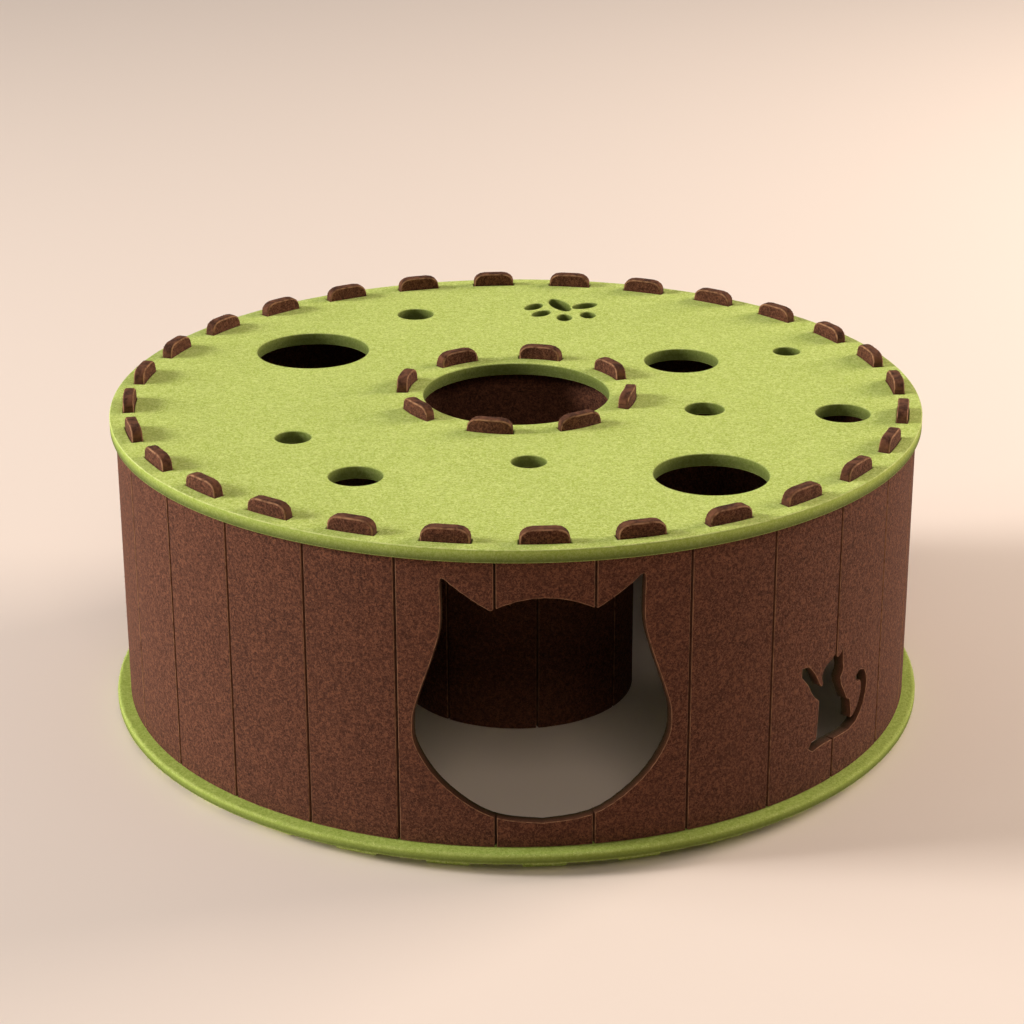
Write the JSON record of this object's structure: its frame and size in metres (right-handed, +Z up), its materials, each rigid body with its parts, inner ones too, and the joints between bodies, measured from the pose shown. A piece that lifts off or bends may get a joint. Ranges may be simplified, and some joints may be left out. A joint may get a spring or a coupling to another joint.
{
  "type": "felt cat tunnel",
  "caption": "Round ring-shaped cat tunnel of pressed felt: flat disc top with play holes, scored walls with tabs, and a cat-head doorway.",
  "frame": {"origin": "floor under the middle of the round tunnel", "axes": "+Z up, the cat-head doorway towards -Y, +X to the right as seen from the doorway"},
  "size_m": [0.612, 0.612, 0.245],
  "materials": {
    "felt_green": "pressed wool-look felt, lime green, matt with fine matted fibres",
    "felt_brown": "pressed wool-look felt, chestnut brown, matt with fine matted fibres"
  },
  "bodies": {
    "root": {"top_panel_01": "felt_green", "top_panel_02": "felt_green", "top_panel_03": "felt_green", "top_panel_04": "felt_green", "top_panel_05": "felt_green", "top_panel_06": "felt_green", "top_panel_07": "felt_green", "top_panel_08": "felt_green", "top_panel_09": "felt_green", "top_panel_10": "felt_green", "outer_wall_01": "felt_brown", "outer_wall_02": "felt_brown", "outer_wall_03": "felt_brown", "outer_wall_04": "felt_brown", "outer_wall_05": "felt_brown", "outer_wall_06": "felt_brown", "outer_wall_07": "felt_brown", "inner_wall_01": "felt_brown", "inner_wall_02": "felt_brown", "inner_wall_03": "felt_brown", "inner_wall_04": "felt_brown", "base_ring": "felt_green", "foot_01": "felt_green", "foot_02": "felt_green", "foot_03": "felt_green", "foot_04": "felt_green", "foot_05": "felt_green", "foot_06": "felt_green", "foot_07": "felt_green", "foot_08": "felt_green", "foot_09": "felt_green", "foot_10": "felt_green", "foot_11": "felt_green", "foot_12": "felt_green", "foot_13": "felt_green", "foot_14": "felt_green", "foot_15": "felt_green", "foot_16": "felt_green", "foot_17": "felt_green", "foot_18": "felt_green", "foot_19": "felt_green", "foot_20": "felt_green", "foot_21": "felt_green", "foot_22": "felt_green", "foot_23": "felt_green", "foot_24": "felt_green", "foot_25": "felt_green", "foot_26": "felt_green", "foot_27": "felt_green", "foot_28": "felt_green"}
  },
  "joints": []
}
